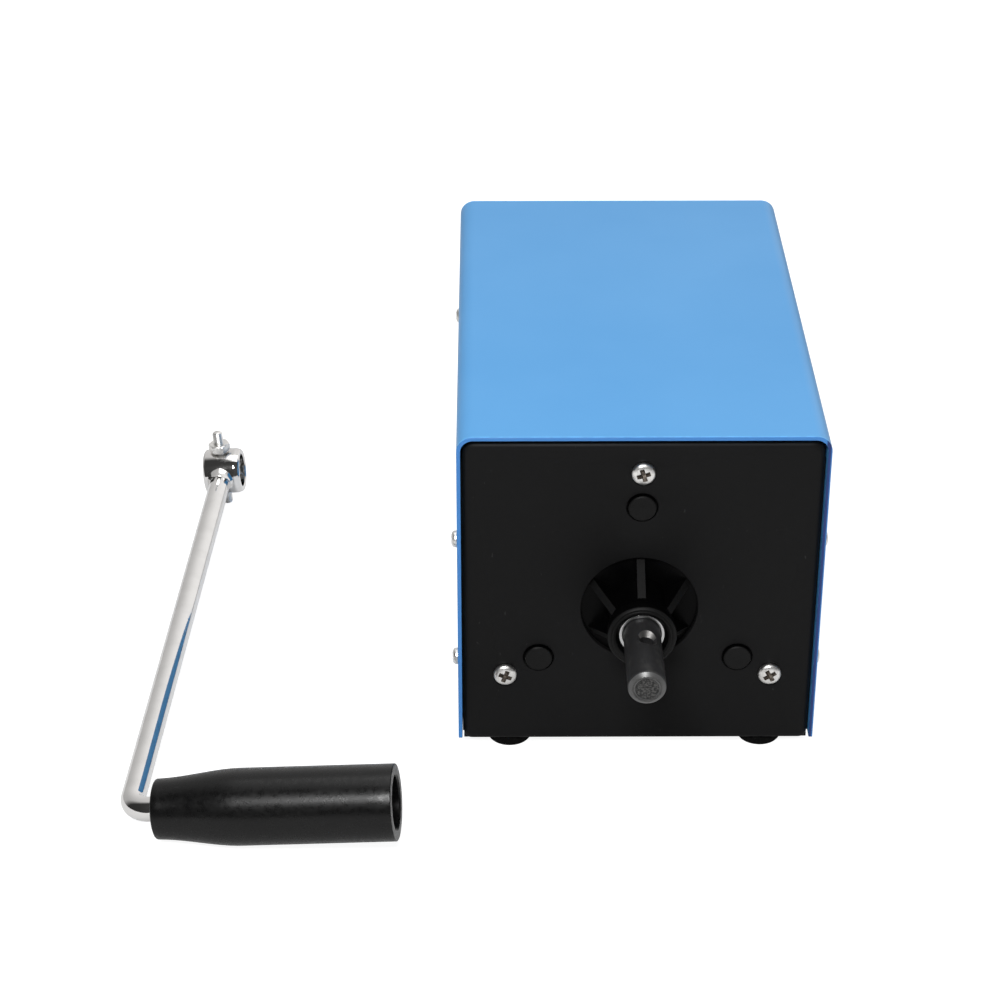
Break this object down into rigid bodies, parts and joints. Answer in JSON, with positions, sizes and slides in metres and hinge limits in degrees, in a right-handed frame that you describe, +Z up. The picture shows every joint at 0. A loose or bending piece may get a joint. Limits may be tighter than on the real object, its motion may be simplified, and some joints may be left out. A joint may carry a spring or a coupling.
{
  "type": "hand crank generator",
  "caption": "Box-shaped hand generator with a geared crank shaft at the front, rubber feet, and a loose bent-bar crank with a tapered grip beside it.",
  "frame": {"origin": "middle of the whole set's footprint, on the surface that it stands on", "axes": "+Z up, -Y out of the front plate along the crank shaft, +X to the right as seen from the front"},
  "size_m": [0.1734, 0.194, 0.0905],
  "materials": {
    "blue_paint": "satin blue powder coat",
    "black_paint": "matt black powder coat",
    "black_plastic": "moulded black plastic",
    "grip_plastic": "semi-gloss moulded black plastic",
    "rubber": "black rubber",
    "zinc": "zinc plated",
    "chrome": "polished chrome plate",
    "black_oxide": "black oxide",
    "steel": "machined steel",
    "nylon": "natural nylon",
    "copper": "enamelled copper",
    "ferrite": "dark ferrite and carbon",
    "board_green": "green solder mask",
    "wire_red": "red insulation",
    "wire_black": "black insulation",
    "lamp_green": "green lens"
  },
  "bodies": {
    "housing": {"cover": "blue_paint", "chassis": "black_paint", "gearbox_front": "black_plastic", "ring_gear": "black_plastic", "gearbox_rear": "black_plastic", "end_bell": "black_plastic", "capacitor": "black_plastic", "dc_socket": "black_plastic", "foot_front_left": "rubber", "foot_front_right": "rubber", "foot_rear_left": "rubber", "foot_rear_right": "rubber", "cover_screw_left_front_low": "zinc", "cover_screw_left_front_high": "zinc", "cover_screw_left_rear_low": "zinc", "cover_screw_left_rear_high": "zinc", "cover_screw_right_front_low": "zinc", "cover_screw_right_front_high": "zinc", "cover_screw_right_rear_low": "zinc", "cover_screw_right_rear_high": "zinc", "plate_screw_top": "zinc", "plate_screw_left": "zinc", "plate_screw_right": "zinc", "gearbox_bolt_top": "zinc", "gearbox_bolt_left": "zinc", "gearbox_bolt_right": "zinc", "board_bracket": "zinc", "usb_socket": "zinc", "shaft_bush": "steel", "generator_can": "steel", "generator_bush_front": "steel", "generator_bush_rear": "steel", "magnet_left": "ferrite", "magnet_right": "ferrite", "brush_left": "ferrite", "brush_right": "ferrite", "regulator_board": "board_green", "wire_red": "wire_red", "wire_black": "wire_black", "power_light": "lamp_green"},
    "crank_shaft": {"crank_shaft": "black_oxide", "input_carrier": "steel"},
    "second_carrier": {"first_sun": "steel", "second_carrier": "steel"},
    "rotor": {"rotor_shaft": "steel", "rotor_core": "steel", "rotor_windings": "copper", "commutator": "copper"},
    "crank": {"crank_rod": "chrome", "crank_hub": "chrome", "grip_retainer": "zinc"},
    "grip": {"grip": "grip_plastic"},
    "clamp": {"clamp_stud": "zinc", "lock_nut": "zinc"},
    "first_planet_1": {"first_planet_1": "nylon"},
    "first_planet_2": {"first_planet_2": "nylon"},
    "first_planet_3": {"first_planet_3": "nylon"},
    "second_planet_1": {"second_planet_1": "nylon"},
    "second_planet_2": {"second_planet_2": "nylon"},
    "second_planet_3": {"second_planet_3": "nylon"}
  },
  "joints": [
    {"name": "rotor_spin", "type": "hinge", "parent": "housing", "child": "rotor", "pos_m": [0.04021, 0, 0.0421], "axis": [0, 1, 0], "continuous": true},
    {"name": "crank_turn", "type": "hinge", "parent": "housing", "child": "crank_shaft", "pos_m": [0.04021, 0, 0.0421], "axis": [0, 1, 0], "continuous": true},
    {"name": "second_carrier_turn", "type": "hinge", "parent": "housing", "child": "second_carrier", "pos_m": [0.04021, 0, 0.0421], "axis": [0, 1, 0], "continuous": true},
    {"name": "first_planet_1_spin", "type": "hinge", "parent": "crank_shaft", "child": "first_planet_1", "pos_m": [0.04021, 0, 0.0574], "axis": [0, 1, 0], "continuous": true},
    {"name": "first_planet_2_spin", "type": "hinge", "parent": "crank_shaft", "child": "first_planet_2", "pos_m": [0.02696, 0, 0.03445], "axis": [0, 1, 0], "continuous": true},
    {"name": "first_planet_3_spin", "type": "hinge", "parent": "crank_shaft", "child": "first_planet_3", "pos_m": [0.05346, 0, 0.03445], "axis": [0, 1, 0], "continuous": true},
    {"name": "second_planet_1_spin", "type": "hinge", "parent": "second_carrier", "child": "second_planet_1", "pos_m": [0.04021, 0, 0.0574], "axis": [0, 1, 0], "continuous": true},
    {"name": "second_planet_2_spin", "type": "hinge", "parent": "second_carrier", "child": "second_planet_2", "pos_m": [0.02696, 0, 0.03445], "axis": [0, 1, 0], "continuous": true},
    {"name": "second_planet_3_spin", "type": "hinge", "parent": "second_carrier", "child": "second_planet_3", "pos_m": [0.05346, 0, 0.03445], "axis": [0, 1, 0], "continuous": true},
    {"name": "crank_lift", "type": "slide", "parent": "housing", "child": "crank", "axis": [0, 0, 1], "range_m": [0, 0.12]},
    {"name": "grip_spin", "type": "hinge", "parent": "crank", "child": "grip", "pos_m": [-0.08399, -0.08232, 0.0074], "axis": [0.9924, -0.0825, 0.0908], "continuous": true},
    {"name": "clamp_unscrew", "type": "slide", "parent": "crank", "child": "clamp", "axis": [-0.0923, -0.0144, 0.9956], "range_m": [0, 0.024]}
  ],
  "couplings": [
    {"joint": "crank_turn", "follows": "rotor_spin", "ratio": 0.043403},
    {"joint": "second_carrier_turn", "follows": "rotor_spin", "ratio": 0.20833},
    {"joint": "first_planet_1_spin", "follows": "rotor_spin", "ratio": -0.11781},
    {"joint": "first_planet_2_spin", "follows": "rotor_spin", "ratio": -0.11781},
    {"joint": "first_planet_3_spin", "follows": "rotor_spin", "ratio": -0.11781},
    {"joint": "second_planet_1_spin", "follows": "rotor_spin", "ratio": -0.56548},
    {"joint": "second_planet_2_spin", "follows": "rotor_spin", "ratio": -0.56548},
    {"joint": "second_planet_3_spin", "follows": "rotor_spin", "ratio": -0.56548}
  ]
}
